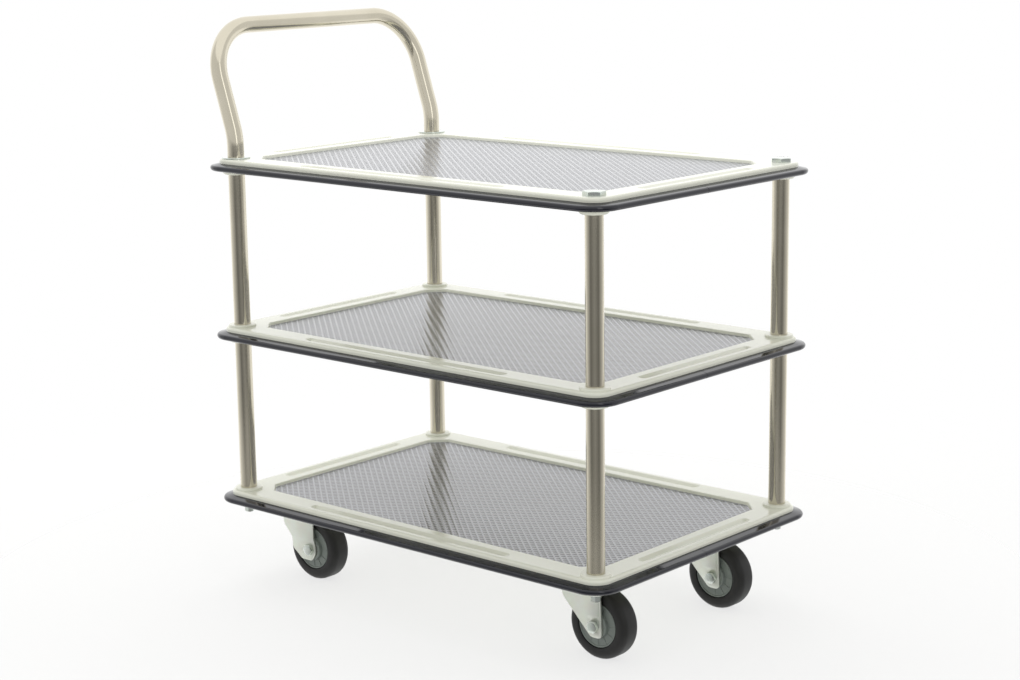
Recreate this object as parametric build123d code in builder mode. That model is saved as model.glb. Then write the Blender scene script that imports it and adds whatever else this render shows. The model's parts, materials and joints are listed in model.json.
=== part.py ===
"""Three-tier push cart. Millimetres; the floor is z = 0, the handle is at -X, left is +Y."""
import os
from math import atan2, cos, degrees, floor, pi, radians, sqrt, tan

from build123d import *

os.makedirs("parts", exist_ok=True)

# Post grid, tiers and tubes
post_span_x = 690.0
post_span_y = 430.0
tier_pitch = 257.0
tube_od = 25.4
tube_wall = 1.2
rod_dia = 8.0

# Deck pan: reaches are measured outward from the post axes, depths down from the rim flat
pan_sheet = 1.2
rim_reach = 25.0
rim_round = 4.0
skirt_depth = 17.0
return_width = 3.5
recess_inset = 15.5
recess_run = 3.0
recess_depth = 6.0
recess_edge_round = 2.5
recess_corner_round = 9.0
corner_land = 39.0
groove_offset = 7.5
groove_width = 16.0
groove_floor = 1.6
groove_depth = 3.2
groove_end_gap_x = 157.0
groove_end_gap_y = 94.0

# Mat and bumper strip
mat_thickness = 2.0
bumper_nose = 14.0
bumper_nose_drop = 12.8
bumper_lip_drop = 6.5
bumper_brow = 10.9
bumper_brow_drop = 8.9
bumper_heel = 11.0
bumper_joint_y = -16.0
bumper_joint_gap = 0.6

# Collars, cups and the fastenings on the post axes
collar_od = 42.0
collar_height = 3.5
collar_round = 2.0
cup_depth = 23.0
cup_wall = 1.5
cup_round = 5.0
cap_flats = 27.0
cap_height = 6.0
cap_crown = 1.5
cap_turns = (4.0, 39.0)
handle_washer_od = 43.0
handle_washer_height = 2.0
insert_length = 15.0
base_washer_od = 24.0
base_washer_height = 2.0
rod_nut_flats = 13.0
rod_nut_height = 10.0
rod_tail = 1.0

# Push handle
handle_rise = 193.0
handle_lean = 52.4
handle_kink_rise = 33.0
handle_kink_radius = 90.0
handle_bend_radius = 80.0

# Casters
wheel_dia = 100.0
tyre_width = 34.0
tyre_shoulder = 9.5
hub_dia = 64.0
hub_rim_width = 31.0
hub_rim_wall = 5.0
hub_web_width = 29.0
hub_boss_dia = 36.0
hub_ribs = 12
hub_rib_width = 1.6
hub_rib_height = 0.8
bearing_od = 28.0
bearing_width = 8.0
sleeve_od = 14.0
axle_dia = 10.0
axle_flats = 16.0
axle_head_height = 6.0
axle_nut_height = 8.0
axle_tail = 2.5
fork_gap = 40.0
fork_sheet = 3.0
panel_height = 0.8
wheel_headroom = 13.5
caster_trail = 24.5
caster_inset = 76.0
front_axle_setback = 47.0
rear_axle_setback = 75.5
race_gap = 5.0
race_height = 3.0
race_groove = 0.6
ball_circle_dia = 48.0
ball_space = 1.15
race_width = 10.0
crown_dia = 72.0
king_dia = 12.0
king_head_dia = 26.0
king_head_height = 3.5
plate_sheet = 3.0
plate_x = 92.0
plate_y = 82.0
plate_round = 8.0
plate_bolts_x = 72.0
plate_bolts_y = 61.0
plate_bolt_dia = 8.0
plate_bolt_flats = 13.0
plate_bolt_head = 5.3
plate_nut_height = 6.5

# Fork leg outlines: x and z from the axle with a corner radius; None is the leg's top
rigid_leg = [(-60, None, 0), (-57, 36, 22), (-6, -16, 12), (14, -16, 7), (13.5, -6, 8), (10, None, 0)]
rigid_panel = [(-15, None, 0), (-15, 13, 4), (8, 13, 4), (8, None, 0)]
swivel_leg = [(-59, None, 0), (-57, 34, 16), (-39, 14, 5), (-37, -3, 9), (-17, -18, 9), (5, -18, 9)]
swivel_leg += [(12.5, -6, 7), (11.5, 9, 12), (8.5, 18, 12), (8.5, None, 0)]

# Caster rails
rail_sheet = 2.0
rail_depth = 12.8
rail_flange = 12.0

# Clearances
slip = 0.1
thread_slip = 0.05
running = 0.05
side_play = 0.3
bolt_clear = 0.3
bumper_slip = 0.1
mat_gap = 0.3

# Levels and positions that follow from the sizes above
axle_z = wheel_dia / 2
crown_bottom = wheel_dia + wheel_headroom
crown_top = crown_bottom + fork_sheet
race_bottom = crown_top + race_gap
plate_bottom = race_bottom + race_height
plate_top = plate_bottom + plate_sheet
rail_top = plate_top + rail_depth
bottom_flat = rail_top + pan_sheet + recess_depth
flats = [bottom_flat + tier_pitch * n for n in range(3)]
bumper_reach = rim_reach + bumper_slip + bumper_nose
rear_reach = max(handle_lean + tube_od / 2, bumper_reach)
deck_x = (rear_reach - bumper_reach) / 2
half_x = post_span_x / 2
half_y = post_span_y / 2
cup_bottom = -pan_sheet - cup_depth
corners = {
    "front_left": (deck_x + half_x, half_y),
    "front_right": (deck_x + half_x, -half_y),
    "rear_left": (deck_x - half_x, half_y),
    "rear_right": (deck_x - half_x, -half_y),
}
all_corners = list(corners.values())
front_corners = [corners["front_left"], corners["front_right"]]
rear_corners = [corners["rear_left"], corners["rear_right"]]
front_axle = deck_x + half_x - front_axle_setback
rear_axle = deck_x - half_x + rear_axle_setback
front_plate_x = front_axle - caster_trail
swivel_x = rear_axle - caster_trail
caster_y = half_y - caster_inset
sides = {"left": caster_y, "right": -caster_y}
wheels = {
    "front_left": (front_axle, sides["left"]),
    "front_right": (front_axle, sides["right"]),
    "rear_left": (rear_axle, sides["left"]),
    "rear_right": (rear_axle, sides["right"]),
}
leg_outer = fork_gap / 2 + fork_sheet


def save(piece, name):
    piece.part.label = name
    export_step(piece.part, f"parts/{name}.step")


def hexagon(flats_width):
    RegularPolygon(flats_width / sqrt(3), 6)


def rim_outline(reach, mode=Mode.ADD):
    RectangleRounded(post_span_x + 2 * reach, post_span_y + 2 * reach, reach, mode=mode)


def recess_outline(shrink):
    inset = recess_inset + shrink
    land = corner_land + shrink
    outline = Rectangle(post_span_x - 2 * inset, post_span_y - 2 * inset)
    outline = chamfer(outline.vertices(), land * sqrt(2) - 2 * inset)
    fillet(outline.vertices(), recess_corner_round - shrink)


# Deck pans: rolled rim and skirt, return flange, sunken middle and four pressed grooves
def recess_block(level, depth, shrink):
    with BuildPart() as block:
        with BuildSketch(Plane((deck_x, 0, level))):
            recess_outline(shrink)
        extrude(amount=-depth, taper=degrees(atan2(recess_run, recess_depth)))
    return block


def rim_block(level, inset):
    with BuildPart() as block:
        with BuildSketch(Plane((deck_x, 0, level - skirt_depth))):
            rim_outline(rim_reach - inset)
        extrude(amount=skirt_depth - inset)
        fillet(block.edges().group_by(Axis.Z)[-1], rim_round - inset)
    return block


def grooves(grow):
    long_groove = post_span_x - 2 * groove_end_gap_x + groove_width
    short_groove = post_span_y - 2 * groove_end_gap_y + groove_width
    with Locations((0, half_y + groove_offset), (0, -half_y - groove_offset)):
        SlotOverall(long_groove + 2 * grow, groove_width + 2 * grow)
    with Locations((half_x + groove_offset, 0), (-half_x - groove_offset, 0)):
        SlotOverall(short_groove + 2 * grow, groove_width + 2 * grow, rotation=90)


def deck_pan(level):
    outer = rim_block(level, 0)
    inner = rim_block(level, pan_sheet)
    tub = recess_block(level, recess_depth + pan_sheet, -pan_sheet)
    recess = recess_block(level, recess_depth, 0)
    with BuildPart() as pan:
        add(outer.part)
        add(inner.part, mode=Mode.SUBTRACT)
        with BuildSketch(Plane((deck_x, 0, level - skirt_depth))):
            rim_outline(rim_reach - pan_sheet / 2)
            rim_outline(rim_reach - return_width, mode=Mode.SUBTRACT)
        extrude(amount=pan_sheet)
        add(tub.part)
        with BuildSketch(Plane((deck_x, 0, level - pan_sheet))):
            grooves(pan_sheet)
        extrude(amount=-groove_depth)
        with BuildSketch(Plane((deck_x, 0, level))):
            grooves(0)
        groove_slope = degrees(atan2((groove_width - groove_floor) / 2, groove_depth))
        extrude(amount=-groove_depth, taper=groove_slope, mode=Mode.SUBTRACT)
        add(recess.part, mode=Mode.SUBTRACT)
        fillet(pan.edges(Select.LAST).group_by(Axis.Z)[-1], recess_edge_round)
        with BuildSketch(Plane.XY.offset(level - pan_sheet)):
            with Locations(*all_corners):
                Circle(rod_dia / 2 + bolt_clear)
        extrude(amount=pan_sheet, mode=Mode.SUBTRACT)
    return pan


# Anti-slip mats in the sunken middles
def deck_mat(level):
    shrink = recess_run * (1 - mat_thickness / recess_depth) + mat_gap
    return recess_block(level - recess_depth + mat_thickness, mat_thickness, shrink)


# Bumper strips: one length of moulding round the skirt, butted at the front
def bumper_strip(level):
    seat = rim_reach + bumper_slip
    lip = (0, -bumper_lip_drop)
    brow = (bumper_brow, -bumper_brow_drop)
    nose = (bumper_nose, -bumper_nose_drop)
    heel = (bumper_heel, -skirt_depth)
    front = half_x + seat
    side = half_y + seat
    start_y = bumper_joint_y + bumper_joint_gap / 2
    end_y = bumper_joint_y - bumper_joint_gap / 2
    with BuildPart() as strip:
        with BuildLine(Plane((deck_x, 0, level))) as path:
            Line((front, start_y), (front, half_y))
            CenterArc((half_x, half_y), seat, 0, 90)
            Line((half_x, side), (-half_x, side))
            CenterArc((-half_x, half_y), seat, 90, 90)
            Line((-front, half_y), (-front, -half_y))
            CenterArc((-half_x, -half_y), seat, 180, 90)
            Line((-half_x, -side), (half_x, -side))
            CenterArc((half_x, -half_y), seat, 270, 90)
            Line((front, -half_y), (front, end_y))
        profile_plane = Plane((deck_x + front, start_y, level), x_dir=(1, 0, 0), z_dir=(0, -1, 0))
        with BuildSketch(profile_plane) as profile:
            with BuildLine():
                Line(lip, brow)
                TangentArc(nose, brow, tangent=(0, 1))
                TangentArc(nose, heel, tangent=(0, -1))
                Line(heel, (0, -skirt_depth))
                Line((0, -skirt_depth), lip)
            make_face()
        sweep(sections=profile.sketch, path=path.line)
    return strip


for tier, level in zip(("bottom", "middle", "top"), flats):
    save(deck_pan(level), f"{tier}_deck_pan")
    save(deck_mat(level), f"{tier}_deck_mat")
    save(bumper_strip(level), f"{tier}_deck_bumper")


# Post tubes, standing on one rim flat and reaching the underside of the next
def post_tube(centre, level):
    with BuildPart() as tube:
        with BuildSketch(Plane((*centre, level))):
            Circle(tube_od / 2)
            Circle(tube_od / 2 - tube_wall, mode=Mode.SUBTRACT)
        extrude(amount=tier_pitch - pan_sheet)
    return tube


for corner, centre in corners.items():
    save(post_tube(centre, flats[0]), f"lower_post_{corner}")
    save(post_tube(centre, flats[1]), f"upper_post_{corner}")

# Collars round the feet of the posts
with BuildPart() as collars:
    for level in flats[:2]:
        with BuildSketch(Plane.XY.offset(level)):
            with Locations(*all_corners):
                Circle(collar_od / 2)
        extrude(amount=collar_height)
        fillet(collars.edges(Select.LAST).group_by(Axis.Z)[-1], collar_round)
    with BuildSketch(Plane.XY.offset(flats[0])):
        with Locations(*all_corners):
            Circle(tube_od / 2 + slip)
    extrude(amount=tier_pitch + collar_height, mode=Mode.SUBTRACT)
save(collars, "post_collars")


# Cups under the decks: posts pass through the upper ones, tie rods through the lowest
def cup_set(levels, bore):
    with BuildPart() as cups:
        for level in levels:
            with BuildSketch(Plane.XY.offset(level + cup_bottom)):
                with Locations(*all_corners):
                    Circle(collar_od / 2)
            extrude(amount=cup_depth)
            fillet(cups.edges(Select.LAST).group_by(Axis.Z)[0], cup_round)
            with BuildSketch(Plane.XY.offset(level + cup_bottom + cup_round)):
                with Locations(*all_corners):
                    Circle(collar_od / 2 - cup_wall)
            extrude(amount=cup_depth - cup_round, mode=Mode.SUBTRACT)
            with BuildSketch(Plane.XY.offset(level + cup_bottom)):
                with Locations(*all_corners):
                    Circle(bore / 2)
            extrude(amount=cup_round, mode=Mode.SUBTRACT)
    return cups


save(cup_set(flats[1:], tube_od + 2 * slip), "post_cups")
save(cup_set(flats[:1], rod_dia + 2 * bolt_clear), "base_cups")


# Washers, nuts and other rings on the post axes
def ring_set(centres, level, width, height, bore, hexagonal=False):
    with BuildPart() as rings:
        with BuildSketch(Plane.XY.offset(level)):
            with Locations(*centres):
                if hexagonal:
                    hexagon(width)
                else:
                    Circle(width / 2)
                Circle(bore / 2, mode=Mode.SUBTRACT)
        extrude(amount=height)
    return rings


top_flat = flats[2]
handle_foot = top_flat + handle_washer_height
base_washer_z = bottom_flat + cup_bottom - base_washer_height
rod_nut_z = base_washer_z - rod_nut_height
rod_foot = rod_nut_z - rod_tail
rod_bore = rod_dia + 2 * bolt_clear
thread_bore = rod_dia + 2 * thread_slip
save(ring_set(rear_corners, top_flat, handle_washer_od, handle_washer_height, rod_bore), "handle_washers")
save(ring_set(all_corners, base_washer_z, base_washer_od, base_washer_height, rod_bore), "base_washers")
save(ring_set(all_corners, rod_nut_z, rod_nut_flats, rod_nut_height, thread_bore, True), "tie_rod_nuts")
insert_od = tube_od - 2 * tube_wall - 2 * thread_slip
save(ring_set(rear_corners, handle_foot, insert_od, insert_length, thread_bore), "handle_inserts")

# Hex caps over the front tie rods, closed at the top
with BuildPart() as hex_caps:
    with BuildSketch(Plane.XY.offset(top_flat)):
        for centre, turn in zip(front_corners, cap_turns):
            with Locations(Location(centre, turn)):
                hexagon(cap_flats)
    extrude(amount=cap_height)
    with BuildSketch(Plane.XY.offset(top_flat)):
        with Locations(*front_corners):
            Circle(thread_bore / 2)
    extrude(amount=cap_height - cap_crown, mode=Mode.SUBTRACT)
save(hex_caps, "front_hex_caps")

# Tie rods inside the posts
with BuildPart() as tie_rods:
    with BuildSketch(Plane.XY.offset(rod_foot)):
        with Locations(*front_corners):
            Circle(rod_dia / 2)
    extrude(amount=top_flat + cap_height - cap_crown - rod_foot)
    with BuildSketch(Plane.XY.offset(rod_foot)):
        with Locations(*rear_corners):
            Circle(rod_dia / 2)
    extrude(amount=handle_foot + insert_length - rod_foot)
save(tie_rods, "tie_rods")


# Push handle: one bent tube, its legs kinked back towards the person pushing
def bend(before, corner, after, radius):
    to_before = (before - corner).normalized()
    to_after = (after - corner).normalized()
    half_turn = radians(180 - to_before.get_angle(to_after)) / 2
    inward = (to_before + to_after).normalized()
    start = corner + to_before * radius * tan(half_turn)
    middle = corner + inward * radius * (1 / cos(half_turn) - 1)
    end = corner + to_after * radius * tan(half_turn)
    return start, middle, end


rear_x = deck_x - half_x
bar_x = rear_x - handle_lean
bar_z = top_flat + handle_rise
kink_z = top_flat + handle_kink_rise
foot_right = Vector(rear_x, -half_y, handle_foot)
kink_right = Vector(rear_x, -half_y, kink_z)
bar_right = Vector(bar_x, -half_y, bar_z)
bar_left = Vector(bar_x, half_y, bar_z)
kink_left = Vector(rear_x, half_y, kink_z)
foot_left = Vector(rear_x, half_y, handle_foot)
handle_bends = [
    bend(foot_right, kink_right, bar_right, handle_kink_radius),
    bend(kink_right, bar_right, bar_left, handle_bend_radius),
    bend(bar_right, bar_left, kink_left, handle_bend_radius),
    bend(bar_left, kink_left, foot_left, handle_kink_radius),
]
with BuildPart() as handle:
    with BuildLine() as handle_path:
        tail = foot_right
        for start, middle, end in handle_bends:
            Line(tail, start)
            ThreePointArc(start, middle, end)
            tail = end
        Line(tail, foot_left)
    with BuildSketch(Plane((rear_x, -half_y, handle_foot))) as handle_ring:
        Circle(tube_od / 2)
        Circle(tube_od / 2 - tube_wall, mode=Mode.SUBTRACT)
    sweep(sections=handle_ring.sketch, path=handle_path.line)
save(handle, "push_handle")


# Caster rails: pressed channels along the underside of the bottom deck
rail_half = plate_y / 2 + slip
rail_end_rear = swivel_x - plate_x / 2
rail_end_front = front_plate_x + plate_x / 2
plate_bolt_bore = plate_bolt_dia + 2 * bolt_clear


def plate_bolt_centres(x, y):
    half_bolts_x = plate_bolts_x / 2
    half_bolts_y = plate_bolts_y / 2
    return [(x + dx, y + dy) for dx in (-half_bolts_x, half_bolts_x) for dy in (-half_bolts_y, half_bolts_y)]


def caster_rail(y):
    foot = plate_top + rail_sheet
    brow = rail_top - rail_sheet
    inner = rail_half - rail_sheet
    brim = rail_half + rail_flange
    half_section = [(0, plate_top), (rail_half, plate_top), (rail_half, brow), (brim, brow)]
    half_section += [(brim, rail_top), (inner, rail_top), (inner, foot), (0, foot)]
    with BuildPart() as rail:
        with BuildSketch(Plane((rail_end_rear, y, 0), x_dir=(0, 1, 0), z_dir=(1, 0, 0))):
            Polygon(*half_section, align=None)
            mirror(about=Plane.YZ)
        extrude(amount=rail_end_front - rail_end_rear)
        with BuildSketch(Plane.XY.offset(plate_top)):
            with Locations(*plate_bolt_centres(front_plate_x, y), *plate_bolt_centres(swivel_x, y)):
                Circle(plate_bolt_bore / 2)
        extrude(amount=rail_sheet, mode=Mode.SUBTRACT)
    return rail


for side, y in sides.items():
    save(caster_rail(y), f"{side}_caster_rail")

# Caster plate bolts from below, with their nuts inside the rails
plate_centres = []
for y in sides.values():
    plate_centres += plate_bolt_centres(front_plate_x, y) + plate_bolt_centres(swivel_x, y)
nut_z = plate_top + rail_sheet
with BuildPart() as plate_bolts:
    with BuildSketch(Plane.XY.offset(plate_bottom - plate_bolt_head)):
        with Locations(*plate_centres):
            hexagon(plate_bolt_flats)
    extrude(amount=plate_bolt_head)
    with BuildSketch(Plane.XY.offset(plate_bottom)):
        with Locations(*plate_centres):
            Circle(plate_bolt_dia / 2)
    extrude(amount=nut_z + plate_nut_height - plate_bottom)
save(plate_bolts, "caster_plate_bolts")
plate_nut_bore = plate_bolt_dia + 2 * thread_slip
save(ring_set(plate_centres, nut_z, plate_bolt_flats, plate_nut_height, plate_nut_bore, True), "caster_plate_nuts")


# Caster plate outline with its bolt holes
def plate_outline(x, y):
    with Locations((x, y)):
        RectangleRounded(plate_x, plate_y, plate_round)
    with Locations(*plate_bolt_centres(x, y)):
        Circle(plate_bolt_bore / 2, mode=Mode.SUBTRACT)


# Fork legs, one on each side of the wheel
def leg_outline(outline, top):
    points = [(x, top if z is None else z) for x, z, _ in outline]
    Polygon(*points, align=None)
    for point, (_, _, radius) in zip(points, outline):
        if radius:
            fillet(vertices().sort_by_distance(point)[0], radius)


def leg_plane(x, y):
    return Plane((x, y, axle_z), x_dir=(1, 0, 0), z_dir=(0, -1, 0))


def fork_legs(x, y, outline, top):
    for way in (1, -1):
        with BuildSketch(leg_plane(x, y + way * fork_gap / 2)) as leg:
            leg_outline(outline, top - axle_z)
            Circle(axle_dia / 2 + slip, mode=Mode.SUBTRACT)
        extrude(leg.sketch, amount=-way * fork_sheet)


# Rigid forks at the front: plate, two legs and a raised panel on each leg
def rigid_fork(x, y):
    with BuildPart() as fork:
        with BuildSketch(Plane.XY.offset(plate_bottom)):
            plate_outline(x - caster_trail, y)
        extrude(amount=plate_sheet)
        fork_legs(x, y, rigid_leg, plate_bottom)
        for way in (1, -1):
            with BuildSketch(leg_plane(x, y + way * leg_outer)):
                leg_outline(rigid_panel, plate_bottom - axle_z)
            extrude(amount=-way * panel_height)
    return fork


# Swivel plates with the upper ball race
ball_dia = race_gap + 2 * race_groove - 2 * running
ball_z = crown_top + race_gap / 2
ball_count = floor(pi * ball_circle_dia / (ball_dia * ball_space))


def ball_groove(y):
    with BuildSketch(Plane((swivel_x, y, ball_z), x_dir=(1, 0, 0), z_dir=(0, -1, 0))) as groove:
        with Locations((ball_circle_dia / 2, 0)):
            Circle(ball_dia / 2 + running)
    revolve(groove.sketch, axis=Axis((swivel_x, y, ball_z), (0, 0, 1)), mode=Mode.SUBTRACT)


def swivel_plate(y):
    with BuildPart() as plate:
        with BuildSketch(Plane.XY.offset(plate_bottom)):
            plate_outline(swivel_x, y)
        extrude(amount=plate_sheet)
        with BuildSketch(Plane((swivel_x, y, race_bottom))):
            Circle((ball_circle_dia + race_width) / 2)
        extrude(amount=race_height)
        with BuildSketch(Plane((swivel_x, y, race_bottom))):
            Circle(king_dia / 2 + thread_slip)
        extrude(amount=plate_top - race_bottom, mode=Mode.SUBTRACT)
        ball_groove(y)
    return plate


# Swivel forks: a crown turning on the balls, and two legs
def swivel_fork(y):
    leg_back = swivel_leg[0][0]
    leg_front = swivel_leg[-1][0]
    with BuildPart() as fork:
        with BuildSketch(Plane((swivel_x, y, crown_bottom))):
            Circle(crown_dia / 2)
            with Locations((caster_trail + (leg_back + leg_front) / 2, 0)):
                Rectangle(leg_front - leg_back, 2 * leg_outer)
            Circle(king_dia / 2 + running, mode=Mode.SUBTRACT)
        extrude(amount=fork_sheet)
        fork_legs(rear_axle, y, swivel_leg, crown_bottom)
        ball_groove(y)
    return fork


for side, y in sides.items():
    save(rigid_fork(front_axle, y), f"rigid_fork_{side}")
    save(swivel_plate(y), f"swivel_plate_{side}")
    save(swivel_fork(y), f"swivel_fork_{side}")

# King pins and the balls between crown and plate
king_head_top = crown_bottom - side_play
swivel_centres = [(swivel_x, y) for y in sides.values()]
with BuildPart() as king_pins:
    with BuildSketch(Plane.XY.offset(king_head_top - king_head_height)):
        with Locations(*swivel_centres):
            Circle(king_head_dia / 2)
    extrude(amount=king_head_height)
    with BuildSketch(Plane.XY.offset(king_head_top)):
        with Locations(*swivel_centres):
            Circle(king_dia / 2)
    extrude(amount=plate_top - king_head_top)
save(king_pins, "king_pins")
with BuildPart() as balls:
    for centre in swivel_centres:
        with Locations(Plane((*centre, ball_z))):
            with PolarLocations(ball_circle_dia / 2, ball_count):
                Sphere(ball_dia / 2)
save(balls, "swivel_balls")


# Axle bolts, nuts and the sleeves that keep the legs apart
def axle_bolt(centres):
    with BuildPart() as bolt:
        for x, y in centres:
            with BuildSketch(leg_plane(x, y - leg_outer)):
                hexagon(axle_flats)
            extrude(amount=axle_head_height)
            with BuildSketch(leg_plane(x, y - leg_outer)):
                Circle(axle_dia / 2)
            extrude(amount=-(2 * leg_outer + axle_nut_height + axle_tail))
    return bolt


def axle_nut(centres):
    with BuildPart() as nut:
        for x, y in centres:
            with BuildSketch(leg_plane(x, y + leg_outer)):
                hexagon(axle_flats)
                Circle(axle_dia / 2 + thread_slip, mode=Mode.SUBTRACT)
            extrude(amount=-axle_nut_height)
    return nut


def axle_sleeve(centres):
    with BuildPart() as sleeve:
        for x, y in centres:
            with BuildSketch(leg_plane(x, y - fork_gap / 2)):
                Circle(sleeve_od / 2)
                Circle(axle_dia / 2 + slip, mode=Mode.SUBTRACT)
            extrude(amount=-fork_gap)
    return sleeve


front_wheels = [wheels["front_left"], wheels["front_right"]]
save(axle_bolt(front_wheels), "rigid_axle_bolts")
save(axle_nut(front_wheels), "rigid_axle_nuts")
save(axle_sleeve(front_wheels), "rigid_axle_sleeves")
for side in sides:
    save(axle_bolt([wheels[f"rear_{side}"]]), f"swivel_axle_bolt_{side}")
    save(axle_nut([wheels[f"rear_{side}"]]), f"swivel_axle_nut_{side}")
    save(axle_sleeve([wheels[f"rear_{side}"]]), f"swivel_axle_sleeve_{side}")

# Wheels: rubber tyre, ribbed hub and a bearing at each end of the hub
boss_width = fork_gap - 2 * side_play
hub_radius = hub_dia / 2
boss_radius = hub_boss_dia / 2
hub_bore = (sleeve_od + bearing_od) / 4


def wheel_plane(x, y):
    return Plane((x, y, axle_z), x_dir=(0, 1, 0), z_dir=(1, 0, 0))


def band(width, inner, outer, mode=Mode.ADD):
    with Locations((0, (inner + outer) / 2)):
        Rectangle(width, outer - inner, mode=mode)


def tyre(x, y):
    with BuildPart() as ring:
        with BuildSketch(wheel_plane(x, y)):
            band(tyre_width, hub_radius, wheel_dia / 2)
            fillet(vertices().group_by(Axis.Y)[-1], tyre_shoulder)
        revolve(axis=Axis((x, y, axle_z), (0, 1, 0)))
    return ring


def hub(x, y):
    rib_inner = boss_radius - hub_rib_width
    rib_outer = hub_radius - hub_rim_wall / 2
    pocket = (boss_width - bearing_width) / 2
    with BuildPart() as wheel:
        with BuildSketch(wheel_plane(x, y)):
            band(hub_rim_width, hub_radius - hub_rim_wall, hub_radius)
            band(hub_web_width, hub_bore, hub_radius - hub_rim_wall / 2)
            band(boss_width, hub_bore, boss_radius)
            with Locations((pocket, bearing_od / 4), (-pocket, bearing_od / 4)):
                Rectangle(bearing_width, bearing_od / 2, mode=Mode.SUBTRACT)
        revolve(axis=Axis((x, y, axle_z), (0, 1, 0)))
        for way in (1, -1):
            with BuildSketch(leg_plane(x, y + way * hub_web_width / 2)):
                with PolarLocations((rib_inner + rib_outer) / 2, hub_ribs):
                    Rectangle(rib_outer - rib_inner, hub_rib_width)
            extrude(amount=-way * hub_rib_height)
    return wheel


def bearings(x, y):
    with BuildPart() as pair:
        for near in (-boss_width / 2, boss_width / 2 - bearing_width):
            with BuildSketch(leg_plane(x, y + near)):
                Circle(bearing_od / 2)
                Circle(sleeve_od / 2 + running, mode=Mode.SUBTRACT)
            extrude(amount=-bearing_width)
    return pair


for place, (x, y) in wheels.items():
    save(tyre(x, y), f"tyre_{place}")
    save(hub(x, y), f"hub_{place}")
    save(bearings(x, y), f"bearings_{place}")
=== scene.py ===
import json
from math import atan2, cos, pi, radians, sin, sqrt, tan

import bmesh
import bpy
from mathutils import Matrix, Vector


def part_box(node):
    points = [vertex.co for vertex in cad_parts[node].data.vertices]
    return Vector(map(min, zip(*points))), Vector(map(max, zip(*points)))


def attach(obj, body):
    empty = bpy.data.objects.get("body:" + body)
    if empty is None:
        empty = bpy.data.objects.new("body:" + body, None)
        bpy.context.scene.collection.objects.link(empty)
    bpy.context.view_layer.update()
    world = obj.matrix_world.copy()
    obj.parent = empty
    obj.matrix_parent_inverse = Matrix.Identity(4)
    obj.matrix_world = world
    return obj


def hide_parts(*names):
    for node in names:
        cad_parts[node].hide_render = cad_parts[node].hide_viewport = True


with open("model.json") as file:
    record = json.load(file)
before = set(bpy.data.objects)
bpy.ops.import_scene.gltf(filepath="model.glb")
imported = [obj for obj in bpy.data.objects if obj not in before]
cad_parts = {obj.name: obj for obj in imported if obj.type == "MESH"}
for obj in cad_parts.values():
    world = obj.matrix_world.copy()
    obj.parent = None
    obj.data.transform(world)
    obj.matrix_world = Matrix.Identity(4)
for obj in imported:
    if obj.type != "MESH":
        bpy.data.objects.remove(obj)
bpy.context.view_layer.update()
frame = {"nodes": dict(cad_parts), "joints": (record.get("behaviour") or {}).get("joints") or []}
nodes = frame["nodes"]
mm = 0.001

# Deck pans
# Three trays pressed from 1.2 mm steel sheet: a flat rim with a groove along each side, a sunken middle
# and an edge rolled down to a skirt. They are sprayed with ivory powder, which is baked to a hard gloss.
tiers = ["bottom", "middle", "top"]


def linear(code):
    """An sRGB hex colour as linear RGBA."""
    channels = [int(code[n:n + 2], 16) / 255 for n in (1, 3, 5)]
    return [c / 12.92 if c <= 0.04045 else ((c + 0.055) / 1.055) ** 2.4 for c in channels] + [1.0]


def add_node(tree, kind, values=None, links=None, **settings):
    """Adds one shader node with its settings, socket values and incoming links."""
    made = tree.nodes.new("ShaderNode" + kind)
    for name, setting in settings.items():
        setattr(made, name, setting)
    for socket, value in (values or {}).items():
        made.inputs[socket].default_value = value
    for socket, source in (links or {}).items():
        tree.links.new(source, made.inputs[socket])
    return made


def start_material(name, values):
    """A new material with its tree, its surface shader and the object's own coordinates."""
    made = bpy.data.materials.new(name)
    made.use_nodes = True
    tree = made.node_tree
    shader = tree.nodes["Principled BSDF"]
    for socket, value in values.items():
        shader.inputs[socket].default_value = value
    return made, tree, shader, add_node(tree, "TexCoord").outputs["Object"]


def ivory_powder_coat():
    paint, tree, shader, place = start_material("ivory_powder_coated_steel", {"IOR": 1.5})
    # The film is a little thicker and warmer over a hand's breadth, so the ivory isn't one flat tone.
    cloud = add_node(tree, "TexNoise", {"Scale": 1 / (110 * mm), "Detail": 2.0}, {"Vector": place})
    tone = add_node(tree, "Mix", {6: linear("#E4E5D8"), 7: linear("#DDDECE")}, {0: cloud.outputs[0]},
                    data_type="RGBA")
    # Baked powder levels into a faint orange peel, about 3 mm from hill to hill.
    peel = add_node(tree, "TexNoise", {"Scale": 1 / (3 * mm), "Detail": 1.0}, {"Vector": place})
    gloss = add_node(tree, "MapRange", {"To Min": 0.1, "To Max": 0.16}, {"Value": peel.outputs[0]})
    bump = add_node(tree, "Bump", {"Strength": 0.08, "Distance": 0.02 * mm}, {"Height": peel.outputs[0]})
    tree.links.new(tone.outputs[2], shader.inputs["Base Color"])
    tree.links.new(gloss.outputs[0], shader.inputs["Roughness"])
    tree.links.new(bump.outputs[0], shader.inputs["Normal"])
    return paint


def coat(names, material):
    """Gives CAD nodes that keep their shape one material."""
    for name in names:
        nodes[name].data.materials.clear()
        nodes[name].data.materials.append(material)


ivory = ivory_powder_coat()
coat([f"{tier}_deck_pan" for tier in tiers], ivory)

# Anti-slip mats
# A sheet of grey PVC is glued into each tray. It is calendered with a lattice of raised lines that crosses
# in diamonds, and its glossy skin mirrors the posts.
diamond_x = 12.8 * mm
diamond_y = 11.25 * mm
ridge_half = 0.75 * mm
ridge_slope = 0.5 * mm
cell_depth = 0.15 * mm
mat_chamfer = 22.8 * mm
mat_taper = 1.0 * mm
corner_ease = 0.6 * mm
least_cell = 18 * mm * mm
weld = 0.001 * mm


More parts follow.
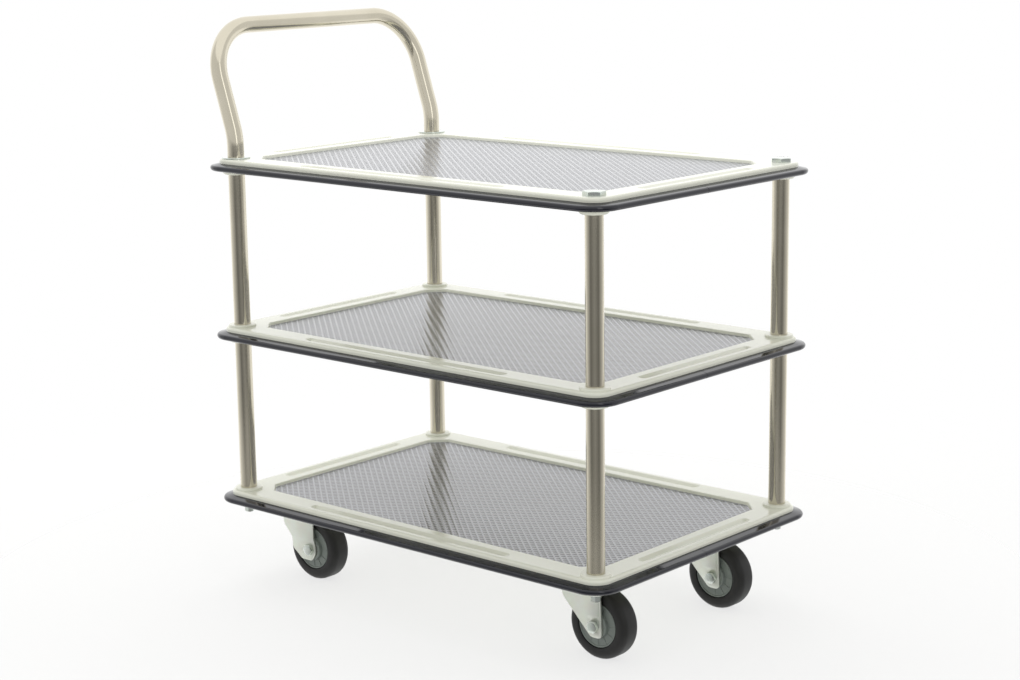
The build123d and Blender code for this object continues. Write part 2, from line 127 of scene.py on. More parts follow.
def grey_pvc(name, low, high):
    sheet, tree, shader, place = start_material(name, {"IOR": 1.75})
    # Calendered PVC keeps a fine mottle from the rolls, drawn at 1.5 mm so that it shows.
    mottle = add_node(tree, "TexNoise", {"Scale": 1 / (1.5 * mm), "Detail": 2.0}, {"Vector": place})
    tone = add_node(tree, "Mix", {6: linear(low), 7: linear(high)}, {0: mottle.outputs[0]}, data_type="RGBA")
    gloss = add_node(tree, "MapRange", {"To Min": 0.1, "To Max": 0.2}, {"Value": mottle.outputs[0]})
    bump = add_node(tree, "Bump", {"Strength": 0.08, "Distance": 0.02 * mm}, {"Height": mottle.outputs[0]})
    tree.links.new(tone.outputs[2], shader.inputs["Base Color"])
    tree.links.new(gloss.outputs[0], shader.inputs["Roughness"])
    tree.links.new(bump.outputs[0], shader.inputs["Normal"])
    return sheet


def whole(mesh):
    return mesh.verts[:] + mesh.edges[:] + mesh.faces[:]


def lattice_mat(low, high):
    """A sheet filling the box from low to high, its top pressed with diamond cells."""
    centre = (low + high) / 2
    half_x, half_y = ((high - low) / 2).xy
    across = round(half_x / diamond_x * 2)
    along = round(half_y / diamond_y * 2)
    cells = 2 * ((across + along) // 2 + 1)
    spread = Matrix.Diagonal((2 * half_x / across / sqrt(2), 2 * half_y / along / sqrt(2), 1, 1))
    mesh = bmesh.new()
    bmesh.ops.create_grid(mesh, x_segments=cells, y_segments=cells, size=cells / 2,
                          matrix=spread @ Matrix.Rotation(radians(45), 4, "Z"))
    for x in (-1, 1):
        for y in (-1, 1):
            beside = Vector((x * half_x, y * (half_y - mat_chamfer), 0))
            above = Vector((x * (half_x - mat_chamfer), y * half_y, 0))
            outward = Vector((x, y, 0)).normalized()
            past_side = (outward + Vector((x, 0, 0))).normalized()
            past_top = (outward + Vector((0, y, 0))).normalized()
            cuts = [(beside, Vector((x, 0, 0))), (above, Vector((0, y, 0))), (beside, outward),
                    (beside - past_side * corner_ease, past_side), (above - past_top * corner_ease, past_top)]
            for point, way in cuts:
                bmesh.ops.bisect_plane(mesh, geom=whole(mesh), dist=weld, plane_co=point, plane_no=way,
                                       clear_outer=True)
    diamonds = [face for face in mesh.faces if face.calc_area() > least_cell]
    # The ridge faces keep the second material, a lighter grey that is a painted highlight along the raised
    # lines; the cells take the first.
    for face in mesh.faces:
        face.material_index = 1
    bmesh.ops.inset_individual(mesh, faces=diamonds, thickness=ridge_half, use_even_offset=True)
    bmesh.ops.inset_individual(mesh, faces=diamonds, thickness=ridge_slope, depth=-cell_depth,
                               use_even_offset=True)
    for face in diamonds:
        face.material_index = 0
    rim = [edge for edge in mesh.edges if edge.is_boundary]
    skirt = bmesh.ops.extrude_edge_only(mesh, edges=rim)["geom"]
    foot = [item for item in skirt if isinstance(item, bmesh.types.BMVert)]
    shrink = Matrix.Diagonal((1 - mat_taper / half_x, 1 - mat_taper / half_y, 1, 1))
    bmesh.ops.transform(mesh, matrix=Matrix.Translation((0, 0, low.z - high.z)) @ shrink, verts=foot)
    bmesh.ops.edgeloop_fill(mesh, edges=[edge for edge in mesh.edges if edge.is_boundary])
    bmesh.ops.translate(mesh, vec=(centre.x, centre.y, high.z), verts=mesh.verts)
    bmesh.ops.recalc_face_normals(mesh, faces=mesh.faces)
    return mesh


def make_piece(mesh, name, body, stands_for, materials, sharp=35):
    """Turns a finished bmesh into a piece that rides on a body and stands for CAD nodes."""
    shape = bpy.data.meshes.new(name)
    mesh.to_mesh(shape)
    mesh.free()
    shape.shade_smooth()
    shape.set_sharp_from_angle(angle=radians(sharp))
    for material in materials:
        shape.materials.append(material)
    piece = bpy.data.objects.new(name, shape)
    bpy.context.scene.collection.objects.link(piece)
    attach(piece, body)
    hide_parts(*stands_for)


# The cells' dark grey is the sheet's own colour; the ridges' lighter grey is a painted highlight.
pvc_with_painted_ridge_highlight = [grey_pvc("calendered_grey_pvc_cells", "#3E4046", "#4C4E54"),
              grey_pvc("grey_pvc_ridges_painted_highlight", "#888A90", "#989A9F")]
for tier in tiers:
    make_piece(lattice_mat(*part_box(f"{tier}_deck_mat")), f"{tier}_lattice_mat", "frame",
               [f"{tier}_deck_mat"], pvc_with_painted_ridge_highlight, sharp=20)

# Bumper strips
# One length of soft navy vinyl is extruded with a rounded nose, stretched round each deck's skirt and
# butted at the front. The die leaves a wet gloss.


def navy_vinyl():
    vinyl, tree, shader, place = start_material("extruded_navy_vinyl", {"IOR": 1.52})
    # Soft vinyl picks up a haze of handling, a few centimetres across, in an even gloss.
    haze = add_node(tree, "TexNoise", {"Scale": 1 / (30 * mm), "Detail": 3.0}, {"Vector": place})
    tone = add_node(tree, "Mix", {6: linear("#070916"), 7: linear("#0D0F1E")}, {0: haze.outputs[0]},
                    data_type="RGBA")
    gloss = add_node(tree, "MapRange", {"To Min": 0.03, "To Max": 0.08}, {"Value": haze.outputs[0]})
    tree.links.new(tone.outputs[2], shader.inputs["Base Color"])
    tree.links.new(gloss.outputs[0], shader.inputs["Roughness"])
    return vinyl


coat([f"{tier}_deck_bumper" for tier in tiers], navy_vinyl())

# Posts
# Eight lengths of 25.4 mm steel tube stand between the decks. They are nickel plated and polished with
# belts along their length, which leaves a warm satin shine.
corners = ["front_left", "front_right", "rear_left", "rear_right"]


def satin_nickel(name, place_name=None):
    plate, tree, shader, place = start_material(name, {"Metallic": 1.0})
    if place_name:
        place = add_node(tree, "Attribute", attribute_name=place_name).outputs["Vector"]
    # Belt lines lie along the tube: 0.8 mm apart here, coarser than the real grit so that they show.
    lines = add_node(tree, "Mapping", {"Scale": (1, 1, 0.01)}, {"Vector": place})
    grain = add_node(tree, "TexNoise", {"Scale": 1 / (0.8 * mm), "Detail": 3.0}, {"Vector": lines.outputs[0]})
    cloud = add_node(tree, "TexNoise", {"Scale": 1 / (60 * mm), "Detail": 2.0}, {"Vector": place})
    tone = add_node(tree, "Mix", {6: linear("#CDC7B7"), 7: linear("#BDB7A5")}, {0: cloud.outputs[0]},
                    data_type="RGBA")
    satin = add_node(tree, "MapRange", {"To Min": 0.08, "To Max": 0.2}, {"Value": grain.outputs[0]})
    tree.links.new(tone.outputs[2], shader.inputs["Base Color"])
    tree.links.new(satin.outputs[0], shader.inputs["Roughness"])
    return plate


coat([f"{level}_post_{corner}" for level in ("lower", "upper") for corner in corners],
     satin_nickel("satin_nickel_plated_post"))

# Collars and cups
# Pressed steel rings dress the posts: a low collar where each one stands on a deck, and a deeper cup where
# it meets the deck above. They are coated with the decks.
coat(["post_collars", "post_cups", "base_cups"], ivory)

# Tie rods, nuts and hex caps
# A steel rod inside each post clamps the decks together. It takes a plain nut and washer below and, at the
# front, a low hex cap above; all are turned from bar, milled to a hexagon and zinc plated.
chamfer_slope = tan(radians(30))
chamfer_face = 0.95
bar_spare = 1.02
turning_steps = 48
round_segments = 6


def zinc_plate(name, low, high, rough, tint_size):
    plate, tree, shader, place = start_material(name, {"Metallic": 1.0})
    # Clear passivated zinc has a pale film whose tint drifts between green, straw and lilac.
    drift = add_node(tree, "TexNoise", {"Scale": 1 / tint_size, "Detail": 2.0}, {"Vector": place})
    tone = add_node(tree, "Mix", {6: linear(low), 7: linear(high)}, {0: drift.outputs[0]}, data_type="RGBA")
    film = add_node(tree, "Mix", {0: 0.06}, {6: tone.outputs[2], 7: drift.outputs[1]}, data_type="RGBA")
    dull = add_node(tree, "TexNoise", {"Scale": 1 / (2 * mm), "Detail": 3.0}, {"Vector": place})
    satin = add_node(tree, "MapRange", {"To Min": rough - 0.06, "To Max": rough + 0.1},
                     {"Value": dull.outputs[0]})
    tree.links.new(film.outputs[2], shader.inputs["Base Color"])
    tree.links.new(satin.outputs[0], shader.inputs["Roughness"])
    return plate


zinc_fastener = zinc_plate("zinc_plated_fastener", "#CDD3CE", "#C3CAC2", 0.14, 9 * mm)


def turned(profile, steps=turning_steps):
    """Spins a closed profile about Z; each point is its radius, its height and its corner's round."""
    mesh = bmesh.new()
    points = [mesh.verts.new((radius, 0, height)) for radius, height, _ in profile]
    mesh.faces.new(points)
    for point, (_, _, rounding) in zip(points, profile):
        if rounding:
            bmesh.ops.bevel(mesh, geom=[point], offset=rounding, segments=round_segments, profile=0.5,
                            affect="VERTICES", material=-1)
    bmesh.ops.delete(mesh, geom=mesh.faces[:], context="FACES_ONLY")
    axis = [edge for edge in mesh.edges if all(abs(vert.co.x) < weld for vert in edge.verts)]
    bmesh.ops.delete(mesh, geom=axis, context="EDGES")
    bmesh.ops.spin(mesh, geom=mesh.verts[:] + mesh.edges[:], cent=(0, 0, 0), axis=(0, 0, 1), angle=2 * pi,
                   steps=steps, use_merge=True)
    bmesh.ops.remove_doubles(mesh, verts=mesh.verts, dist=weld)
    bmesh.ops.recalc_face_normals(mesh, faces=mesh.faces)
    return mesh


def milled_hex(mesh, flats):
    """Cuts six flats on a turned blank."""
    for n in range(6):
        outward = Vector((cos((n + 0.5) * pi / 3), sin((n + 0.5) * pi / 3), 0))
        cut = bmesh.ops.bisect_plane(mesh, geom=whole(mesh), dist=weld / 10, plane_co=outward * flats / 2,
                                     plane_no=outward, clear_outer=True)["geom_cut"]
        bmesh.ops.edgeloop_fill(mesh, edges=[item for item in cut if isinstance(item, bmesh.types.BMEdge)])
    bmesh.ops.recalc_face_normals(mesh, faces=mesh.faces)
    return mesh


def hex_blank(flats, bottom, top, bore=0.0, both_ends=False, slope=chamfer_slope):
    """A profile whose corners the milled flats leave as a chamfer, 30 degrees unless told."""
    face = flats / 2 * chamfer_face
    corner = flats / sqrt(3) * bar_spare
    drop = (corner - face) * slope
    profile = [(bore, top, 0), (face, top, 0), (corner, top - drop, 0)]
    if both_ends:
        return profile + [(corner, bottom + drop, 0), (face, bottom, 0), (bore, bottom, 0)]
    return profile + [(corner, bottom, 0), (bore, bottom, 0)]


def copies(shape, places):
    """Joins copies of one bmesh, each moved by a matrix, and frees the first."""
    stamp = bpy.data.meshes.new("stamp")
    shape.to_mesh(stamp)
    shape.free()
    joined = bmesh.new()
    for place in places:
        start = len(joined.verts)
        joined.from_mesh(stamp)
        joined.verts.ensure_lookup_table()
        bmesh.ops.transform(joined, matrix=place, verts=joined.verts[start:])
    bpy.data.meshes.remove(stamp)
    return joined


def centre_of(name):
    low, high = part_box(name)
    return (low + high) / 2


def at_corners(names, height):
    spots = [centre_of(f"upper_post_{corner}").xy for corner in names]
    return [Matrix.Translation((*spot, height)) for spot in spots]


cap_low, cap_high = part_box("front_hex_caps")
cap_flats = 27 * mm
cap_turns = (4, 39)
cap_slope = tan(radians(14))
cap = milled_hex(turned(hex_blank(cap_flats, 0, cap_high.z - cap_low.z, slope=cap_slope)), cap_flats)
cap_places = [spot @ Matrix.Rotation(radians(turn), 4, "Z")
              for spot, turn in zip(at_corners(corners[:2], cap_low.z), cap_turns)]
make_piece(copies(cap, cap_places), "chamfered_hex_caps", "frame",
           ["front_hex_caps"], [zinc_fastener])
coat(["tie_rods", "handle_inserts"], zinc_fastener)

nut_low, nut_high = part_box("tie_rod_nuts")
rod_radius = 4 * mm
nut_flats = (nut_high.y - nut_low.y) - 2 * abs(centre_of("upper_post_front_left").y)
nut = milled_hex(turned(hex_blank(nut_flats, 0, nut_high.z - nut_low.z, rod_radius, True)), nut_flats)
make_piece(copies(nut, at_corners(corners, nut_low.z)), "chamfered_tie_rod_nuts", "frame",
           ["tie_rod_nuts"], [zinc_fastener])

washer_steps = 72
washer_top_round = 0.35
washer_foot_round = 0.2


def washer(name, places, new_name):
    """Punched washers; their edges are rounded by a share of the thickness."""
    low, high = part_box(name)
    radius = (high.y - low.y) / 2 - abs(centre_of("upper_post_front_left").y)
    thick = high.z - low.z
    ring = turned([(rod_radius, 0, 0), (rod_radius, thick, 0), (radius, thick, thick * washer_top_round),
                   (radius, 0, thick * washer_foot_round)], washer_steps)
    make_piece(copies(ring, at_corners(places, low.z)), new_name, "frame", [name],
               [zinc_fastener])


washer("base_washers", corners, "rounded_base_washers")

# Push handle
# One nickel plated tube is bent to a hoop. Its legs stand on zinc washers over the rear posts, are kinked
# back towards the hands a little above the deck, and screw down onto the rear tie rods.
tube_radius = 12.7 * mm
kink_rise = 31 * mm
kink_radius = 90 * mm
corner_radius = 80 * mm
ring_steps = 48
bend_step = radians(3)


def handle_tube():
    """A ring carried along the hoop; the layer keeps each point's place on the straight tube."""
    low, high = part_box("push_handle")
    foot = centre_of("upper_post_rear_right")
    foot.z = low.z
    kink = foot + Vector((0, 0, kink_rise))
    corner = Vector((low.x + tube_radius, foot.y, high.z - tube_radius))
    lean = (corner - kink).normalized()
    turn = Vector((0, 0, 1)).angle(lean)
    kink_run = kink_radius * tan(turn / 2)
    leg_run = (corner - kink).length - kink_run - corner_radius
    bar_run = -2 * foot.y - 2 * corner_radius
    bar = Vector((0, 1, 0))
    mesh = bmesh.new()
    straight = mesh.verts.layers.float_vector.new("straight_place")
    bmesh.ops.create_circle(mesh, segments=ring_steps, radius=tube_radius, cap_ends=True)
    for vert in mesh.verts:
        vert[straight] = vert.co
    bmesh.ops.translate(mesh, vec=foot, verts=mesh.verts)
    ring = mesh.edges[:]

    def carry(ring, move, length):
        made = bmesh.ops.extrude_edge_only(mesh, edges=ring)["geom"]
        verts = [item for item in made if isinstance(item, bmesh.types.BMVert)]
        bmesh.ops.transform(mesh, matrix=move, verts=verts)
        for vert in verts:
            vert[straight] += Vector((0, 0, length))
        fresh = set(verts)
        edges = [item for item in made if isinstance(item, bmesh.types.BMEdge)]
        return [edge for edge in edges if fresh.issuperset(edge.verts)]

    def run(ring, way, length):
        return carry(ring, Matrix.Translation(way * length), length)

    def bend(ring, centre, axis, angle, radius):
        count = max(2, round(angle / bend_step))
        swing = Matrix.Rotation(angle / count, 4, axis)
        move = Matrix.Translation(centre) @ swing @ Matrix.Translation(-centre)
        for _ in range(count):
            ring = carry(ring, move, radius * angle / count)
        return ring

    up = Vector((0, 0, 1))
    side = up.cross(lean).normalized()
    ring = run(ring, up, kink_rise - kink_run)
    start = kink - up * kink_run
    ring = bend(ring, start + side.cross(up) * kink_radius, side, turn, kink_radius)
    ring = run(ring, lean, leg_run)
    near = corner - lean * corner_radius
    ring = bend(ring, near + bar * corner_radius, lean.cross(bar), pi / 2, corner_radius)
    ring = run(ring, bar, bar_run)
    far = Vector((corner.x, -corner.y, corner.z)) - bar * corner_radius
    ring = bend(ring, far - lean * corner_radius, bar.cross(-lean), pi / 2, corner_radius)
    ring = run(ring, -lean, leg_run)
    end = Vector((kink.x, -kink.y, kink.z)) + lean * kink_run
    ring = bend(ring, end + side.cross(lean) * kink_radius, -side, turn, kink_radius)
    ring = run(ring, -up, kink_rise - kink_run)
    bmesh.ops.edgeloop_fill(mesh, edges=ring)
    bmesh.ops.recalc_face_normals(mesh, faces=mesh.faces)
    return mesh


make_piece(handle_tube(), "bent_push_handle", "frame", ["push_handle"],
           [satin_nickel("satin_nickel_plated_handle", "straight_place")])
washer("handle_washers", corners[2:], "rounded_handle_washers")

# Caster rails
# Two channels folded from zinc plated sheet are welded along the underside of the bottom deck. Each caster
# is held to them by four hex bolts from below.
zinc_sheet = zinc_plate("zinc_plated_pressed_sheet", "#E3E5DC", "#D6DACF", 0.42, 14 * mm)
coat(["left_caster_rail", "right_caster_rail"], zinc_sheet)
coat(["caster_plate_bolts", "caster_plate_nuts"], zinc_fastener)

# Swivel plates
# The rear casters turn on steel balls between a pressed plate and the fork's crown, held together by a
# riveted king pin. The plate's sheared edges are tumbled smooth.
sheared_edge = 0.35 * mm
flat_angle = radians(1)
crease_angle = radians(40)


def eased_copy(name):
    """A copy of a sheet metal solid, merged, with its sheared edges eased as by tumbling."""
    mesh = bmesh.new()
    mesh.from_mesh(nodes[name].data)
    bmesh.ops.remove_doubles(mesh, verts=mesh.verts, dist=weld)
    bmesh.ops.dissolve_limit(mesh, angle_limit=flat_angle, verts=mesh.verts, edges=mesh.edges)
    edges = [edge for edge in mesh.edges if edge.is_manifold and edge.calc_face_angle(0) > crease_angle]
    bmesh.ops.bevel(mesh, geom=edges, offset=sheared_edge, offset_type="OFFSET", segments=2, profile=0.5,
                    affect="EDGES", material=-1, clamp_overlap=True)
    return mesh


def bearing_steel():
    steel, tree, shader, place = start_material("ground_bearing_steel", {"Metallic": 1.0})
    # Grinding leaves a bright, slightly cool surface with a film of grease in places.
    film = add_node(tree, "TexNoise", {"Scale": 1 / (4 * mm), "Detail": 2.0}, {"Vector": place})
    tone = add_node(tree, "Mix", {6: linear("#B9BCBF"), 7: linear("#9FA09B")}, {0: film.outputs[0]},
                    data_type="RGBA")
    satin = add_node(tree, "MapRange", {"To Min": 0.12, "To Max": 0.28}, {"Value": film.outputs[0]})
    tree.links.new(tone.outputs[2], shader.inputs["Base Color"])
    tree.links.new(satin.outputs[0], shader.inputs["Roughness"])
    return steel


ground_steel = bearing_steel()
coat(["swivel_balls"], ground_steel)
coat(["king_pins"], zinc_fastener)
sides = ["left", "right"]
for side in sides:
    make_piece(eased_copy(f"swivel_plate_{side}"), f"eased_swivel_plate_{side}", "frame",
               [f"swivel_plate_{side}"], [zinc_sheet])

# Caster forks
# Each fork is blanked and folded from 3 mm sheet, then zinc plated: the front pair is fixed, the rear pair
# turns. The sheared edges are tumbled smooth and catch the light.
for side in sides:
    make_piece(eased_copy(f"rigid_fork_{side}"), f"eased_rigid_fork_{side}", "frame",
               [f"rigid_fork_{side}"], [zinc_sheet])
    make_piece(eased_copy(f"swivel_fork_{side}"), f"eased_swivel_fork_{side}", f"swivel_{side}",
               [f"swivel_fork_{side}"], [zinc_sheet])

# Axles
# A hex bolt goes through each fork from the right, through a sleeve that keeps the legs apart inside the
# wheel's two bearings, to a nut on the left. Bolt, sleeve and nut are zinc plated.
joints = {joint["name"]: joint for joint in frame["joints"]}
axle = {corner: Vector(joints[f"wheel_{corner}_spin"]["pos_m"]) for corner in corners}
axle_radius = 5 * mm
axle_flats = 16 * mm
head_height = 6 * mm
axle_nut_height = 8 * mm
axle_tail = 2.5 * mm
tip_round = 1.2 * mm
washer_face = 0.4 * mm
fork_half = 23 * mm
toward_right = Matrix.Rotation(radians(90), 4, "X")
toward_left = Matrix.Rotation(radians(-90), 4, "X")


def axle_bolt():
    """Head on +Z, its seat at z = 0; the shank goes down through both legs and the nut."""
    bolt = milled_hex(turned(hex_blank(axle_flats, washer_face, head_height)), axle_flats)
    face = axle_flats / 2 * chamfer_face
    tip = -2 * fork_half - axle_nut_height - axle_tail
    shank = turned([(0, washer_face, 0), (face, washer_face, 0), (face, 0, 0), (axle_radius, 0, 0),
                    (axle_radius, tip, tip_round), (0, tip, 0)])
    stamp = bpy.data.meshes.new("stamp")
    shank.to_mesh(stamp)
    shank.free()
    bolt.from_mesh(stamp)
    bpy.data.meshes.remove(stamp)
    return bolt


def axle_nut():
    return milled_hex(turned(hex_blank(axle_flats, 0, axle_nut_height, axle_radius, True)), axle_flats)


def at_axles(names, across, turn):
    return [Matrix.Translation(axle[name] + Vector((0, across, 0))) @ turn for name in names]


axle_sets = [("rigid_axle_{}s", corners[:2], "frame")]
axle_sets += [(f"swivel_axle_{{}}_{side}", [f"rear_{side}"], f"swivel_{side}") for side in sides]
for pattern, names, body in axle_sets:
    bolt_name, nut_name, sleeve_name = [pattern.format(kind) for kind in ("bolt", "nut", "sleeve")]
    make_piece(copies(axle_bolt(), at_axles(names, -fork_half, toward_right)), f"chamfered_{bolt_name}", body,
               [bolt_name], [zinc_fastener])
    make_piece(copies(axle_nut(), at_axles(names, fork_half, toward_left)), f"chamfered_{nut_name}", body,
               [nut_name], [zinc_fastener])
    coat([sleeve_name], zinc_fastener)

# Wheels
# A solid black rubber tyre is moulded round a grey polypropylene hub. Thin ribs run out across the hub's
# face to its rim, and two bearings sit in its middle.
wheel_radius = 50 * mm
tyre_half = 17 * mm
tyre_shoulder = 9.5 * mm
tyre_seat_half = 14.2 * mm
bead_gap = 0.8 * mm
bead_foot = 1.4 * mm
bead_half = 16.4 * mm
bead_round = 0.5 * mm
sidewall_start = 3.4 * mm
sidewall_round = 1.2 * mm
hub_radius = 32 * mm
hub_half = 15.5 * mm
web_half = 14.3 * mm
rim_wall = 1.6 * mm
rim_draft = 1.0 * mm
rim_inner_round = 0.4 * mm
rim_outer_round = 0.3 * mm
boss_radius = 18 * mm
boss_half = 19.7 * mm
boss_round = 1.2 * mm
boss_draft = 0.6 * mm
bearing_radius = 14 * mm
bearing_width = 8 * mm
bore_radius = 10.5 * mm
wheel_steps = 96
rib_count = 12
rib_height = 0.7 * mm
facing_out = 0.99


def black_rubber():
    rubber, tree, shader, place = start_material("moulded_black_rubber", {"IOR": 1.5})
    # A moulded tyre is a soft matt black, a shade browner and duller where dust has rubbed in.
    dust = add_node(tree, "TexNoise", {"Scale": 1 / (12 * mm), "Detail": 4.0}, {"Vector": place})
    tone = add_node(tree, "Mix", {6: linear("#0D0C0A"), 7: linear("#151412")}, {0: dust.outputs[0]},
                    data_type="RGBA")
    matt = add_node(tree, "MapRange", {"To Min": 0.48, "To Max": 0.62}, {"Value": dust.outputs[0]})
    skin = add_node(tree, "TexNoise", {"Scale": 1 / (0.9 * mm), "Detail": 2.0}, {"Vector": place})
    bump = add_node(tree, "Bump", {"Strength": 0.3, "Distance": 0.05 * mm}, {"Height": skin.outputs[0]})
    tree.links.new(tone.outputs[2], shader.inputs["Base Color"])
    tree.links.new(matt.outputs[0], shader.inputs["Roughness"])
    tree.links.new(bump.outputs[0], shader.inputs["Normal"])
    return rubber


def grey_polypropylene():
    plastic, tree, shader, place = start_material("moulded_grey_polypropylene", {"IOR": 1.49})
    # Moulded polypropylene is slightly waxy, with faint flow clouds.
    flow = add_node(tree, "TexNoise", {"Scale": 1 / (10 * mm), "Detail": 2.0}, {"Vector": place})
    tone = add_node(tree, "Mix", {6: linear("#6B726D"), 7: linear("#787F79")}, {0: flow.outputs[0]},
                    data_type="RGBA")
    waxy = add_node(tree, "MapRange", {"To Min": 0.32, "To Max": 0.45}, {"Value": flow.outputs[0]})
    tree.links.new(tone.outputs[2], shader.inputs["Base Color"])
    tree.links.new(waxy.outputs[0], shader.inputs["Roughness"])
    return plastic


def both_sides(half_profile):
    """A profile for the +Z half, completed by its mirror image."""
    return half_profile + [(radius, -height, rounding) for radius, height, rounding in reversed(half_profile)]


def tyre():
    return turned(both_sides([
        (hub_radius, tyre_seat_half, 0),
        (hub_radius + bead_gap, tyre_seat_half, 0),
        (hub_radius + bead_foot, bead_half, bead_round),
        (hub_radius + sidewall_start, tyre_half, sidewall_round),
        (wheel_radius, tyre_half, tyre_shoulder)]), wheel_steps)


def hub():
    """A turned hub; every eighth facet of its two web faces is lifted to a rib."""
    mesh = turned(both_sides([
        (bore_radius, boss_half - bearing_width, 0),
        (bearing_radius, boss_half - bearing_width, 0),
        (bearing_radius, boss_half, 0),
        (boss_radius, boss_half, boss_round),
        (boss_radius + boss_draft, web_half, 0),
        (hub_radius - rim_wall - rim_draft, web_half, 0),
        (hub_radius - rim_wall, hub_half, rim_inner_round),
        (hub_radius, hub_half, rim_outer_round)]), wheel_steps)
    step = 2 * pi / wheel_steps
    ribs = []
    for face in mesh.faces:
        middle = face.calc_center_median()
        if abs(abs(middle.z) - web_half) < weld and abs(face.normal.z) > facing_out:
            slot = int((Vector((middle.x, middle.y)).angle_signed(Vector((1, 0))) + pi) / step)
            if slot % (wheel_steps // rib_count) == 0:
                ribs.append(face)
    lifted = bmesh.ops.extrude_discrete_faces(mesh, faces=ribs)["faces"]
    for face in lifted:
        bmesh.ops.translate(mesh, vec=face.normal * rib_height, verts=face.verts)
    return mesh


rubber = black_rubber()
polypropylene = grey_polypropylene()
for corner in corners:
    spot = [Matrix.Translation(axle[corner]) @ toward_right]
    make_piece(copies(tyre(), spot), f"moulded_tyre_{corner}", f"wheel_{corner}",
               [f"tyre_{corner}"], [rubber])
    make_piece(copies(hub(), spot), f"ribbed_hub_{corner}", f"wheel_{corner}",
               [f"hub_{corner}"], [polypropylene])
    coat([f"bearings_{corner}"], ground_steel)

# Studio
# A pale floor keeps the cart's shadow and fades into a white surround, under one wide soft light. A curved
# wall on the camera's side, which only reflections see, has dark panels low down and a strip lamp above.
floor_radius = 3.0
floor_segments = 96
# The wall's tones, by degrees round from the camera.
wall_panels = [(-105, "#FFFFFF"), (-40, "#7C7C7C"), (0, "#A0A0A0"), (40, "#7C7C7C"), (105, "#FFFFFF")]
upper_panels = [(-110, "#BBBBBB"), (10, "#B0B0B0"), (15, "#FFFFFF"), (25, "#FFFFFF"), (30, "#B0B0B0"),
                (110, "#BBBBBB")]
upper_glow = 2.0
upper_from = 0.45
upper_to = 0.6
shadow_inner = 0.75
shadow_outer = 1.5
floor_glow = 0.72
wall_radius = 2.2
wall_span = radians(220)
wall_low = -1.5
wall_high = 3.0
wall_steps = 48
diffuse_level = 0.86
mirrored_level = 1.35
softbox_power = 24
softbox_length = 2.6
softbox_width = 1.8
softbox_place = Vector((-0.9, 0.6, 2.3))
softbox_aim = Vector((0, 0, 0.4))
camera_place = Vector((2.0682, -2.3373, 1.0416))
camera_turn = (78.1805, 0.7431, 41.0449)
camera_lens = 74.90


def stage_piece(mesh, name, material):
    shape = bpy.data.meshes.new(name)
    mesh.to_mesh(shape)
    mesh.free()
    shape.materials.append(material)
    piece = bpy.data.objects.new(name, shape)
    bpy.context.scene.collection.objects.link(piece)
    return piece


floor_paint, tree, shader, place = start_material(
    "white_floor_paint", {"Base Color": linear("#F4F4F2"), "Roughness": 0.9, "Specular IOR Level": 0.0})
reach = add_node(tree, "VectorMath", links={0: place}, operation="LENGTH")
fade = add_node(tree, "MapRange", {"From Min": shadow_inner, "From Max": shadow_outer, "To Min": floor_glow},
                {"Value": reach.outputs["Value"]}, interpolation_type="SMOOTHSTEP")
clear = add_node(tree, "BsdfTransparent")
blend = add_node(tree, "MixShader", links={0: fade.outputs[0], 1: shader.outputs[0], 2: clear.outputs[0]})
tree.links.new(blend.outputs[0], tree.nodes["Material Output"].inputs["Surface"])
floor = bmesh.new()
bmesh.ops.create_circle(floor, cap_ends=True, segments=floor_segments, radius=floor_radius)
stage_piece(floor, "floor", floor_paint)

wall_cloth, tree, shader, place = start_material("dark_wall_cloth", {})
tree.nodes.remove(shader)
toward_camera = camera_place.xy.normalized()
camera_side = atan2(toward_camera.y, toward_camera.x)
turned_place = add_node(tree, "Mapping", {"Rotation": (0, 0, -camera_side)}, {"Vector": place})
around = add_node(tree, "TexGradient", links={"Vector": turned_place.outputs[0]}, gradient_type="RADIAL")
ramps = []
for panels in (wall_panels, upper_panels):
    ramp = add_node(tree, "ValToRGB", links={"Fac": around.outputs[1]})
    for angle, colour in panels:
        stop = ramp.color_ramp.elements.new(0.5 + angle / 360)
        stop.color = linear(colour)
    ramp.color_ramp.elements[0].color = linear(panels[0][1])
    ramp.color_ramp.elements[-1].color = linear(panels[-1][1])
    ramps.append(ramp.outputs[0])
split_place = add_node(tree, "SeparateXYZ", links={"Vector": place})
rise = add_node(tree, "MapRange", {"From Min": upper_from, "From Max": upper_to},
                {"Value": split_place.outputs["Z"]})
cloth = add_node(tree, "Mix", links={0: rise.outputs[0], 6: ramps[0], 7: ramps[1]}, data_type="RGBA")
glow = add_node(tree, "MapRange", {"To Min": 1.0, "To Max": upper_glow}, {"Value": rise.outputs[0]})
dusk = add_node(tree, "Emission", links={"Color": cloth.outputs[2], "Strength": glow.outputs[0]})
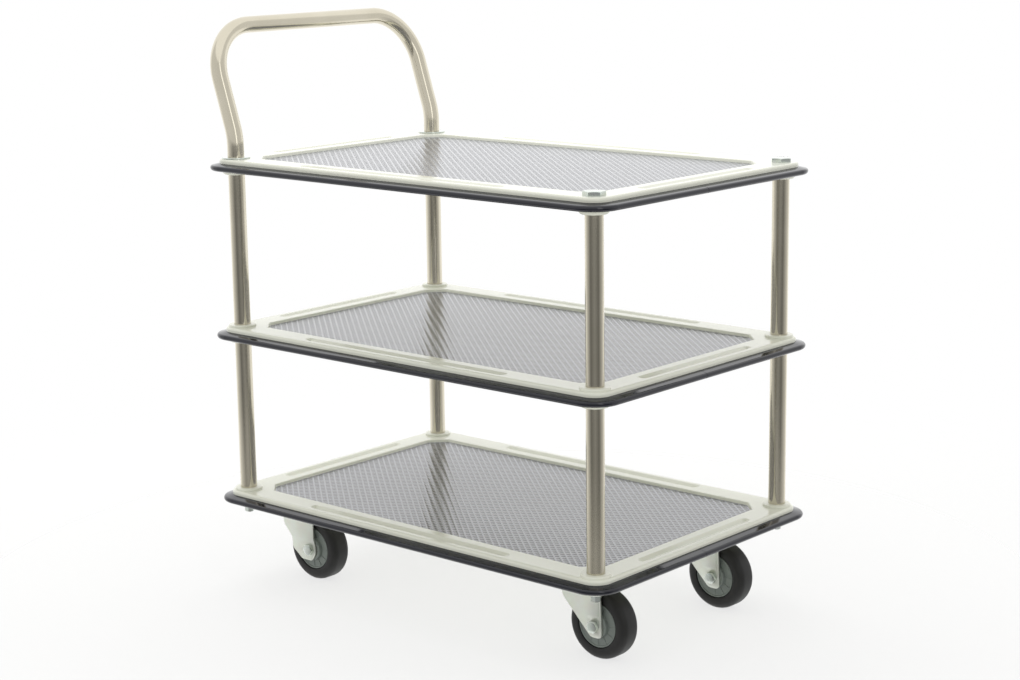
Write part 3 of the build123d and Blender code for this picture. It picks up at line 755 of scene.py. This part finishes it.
tree.links.new(dusk.outputs[0], tree.nodes["Material Output"].inputs["Surface"])
wall = bmesh.new()
ends = [wall.verts.new((*(toward_camera * wall_radius), height)) for height in (wall_low, wall_high)]
seam = wall.edges.new(ends)
bmesh.ops.rotate(wall, cent=(0, 0, 0), matrix=Matrix.Rotation(-wall_span / 2, 3, "Z"), verts=ends)
bmesh.ops.spin(wall, geom=ends + [seam], cent=(0, 0, 0), axis=(0, 0, 1), angle=wall_span, steps=wall_steps)
dark_wall = stage_piece(wall, "dark_wall", wall_cloth)
dark_wall.visible_camera = False
dark_wall.visible_diffuse = False
dark_wall.visible_shadow = False
dark_wall.visible_transmission = False

world = bpy.data.worlds.new("white_surround")
world.use_nodes = True
bpy.context.scene.world = world
tree = world.node_tree
surround = tree.nodes["Background"]
surround.inputs["Color"].default_value = linear("#FFFFFF")
path = add_node(tree, "LightPath").outputs
seen = add_node(tree, "Math", links={0: path["Is Camera Ray"], 1: path["Is Transmission Ray"]},
                operation="MAXIMUM")
level = add_node(tree, "MapRange", {"To Min": diffuse_level, "To Max": 1.0}, {"Value": seen.outputs[0]})
mirrored = add_node(tree, "MapRange", {"To Max": mirrored_level},
                    {"Value": path["Is Glossy Ray"], "To Min": level.outputs[0]})
tree.links.new(mirrored.outputs[0], surround.inputs["Strength"])

lamp = bpy.data.lights.new("overhead_softbox", "AREA")
lamp.shape = "RECTANGLE"
lamp.size = softbox_length
lamp.size_y = softbox_width
lamp.energy = softbox_power
softbox = bpy.data.objects.new("overhead_softbox", lamp)
softbox.location = softbox_place
softbox.rotation_euler = (softbox_aim - softbox_place).to_track_quat("-Z", "Y").to_euler()
softbox.visible_glossy = False
bpy.context.scene.collection.objects.link(softbox)

lens = bpy.data.cameras.new("camera")
lens.lens = camera_lens
lens.sensor_width = 36.0
camera = bpy.data.objects.new("camera", lens)
camera.location = camera_place
camera.rotation_euler = [radians(angle) for angle in camera_turn]
bpy.context.scene.collection.objects.link(camera)
bpy.context.scene.camera = camera
bpy.context.scene.view_settings.view_transform = "Standard"
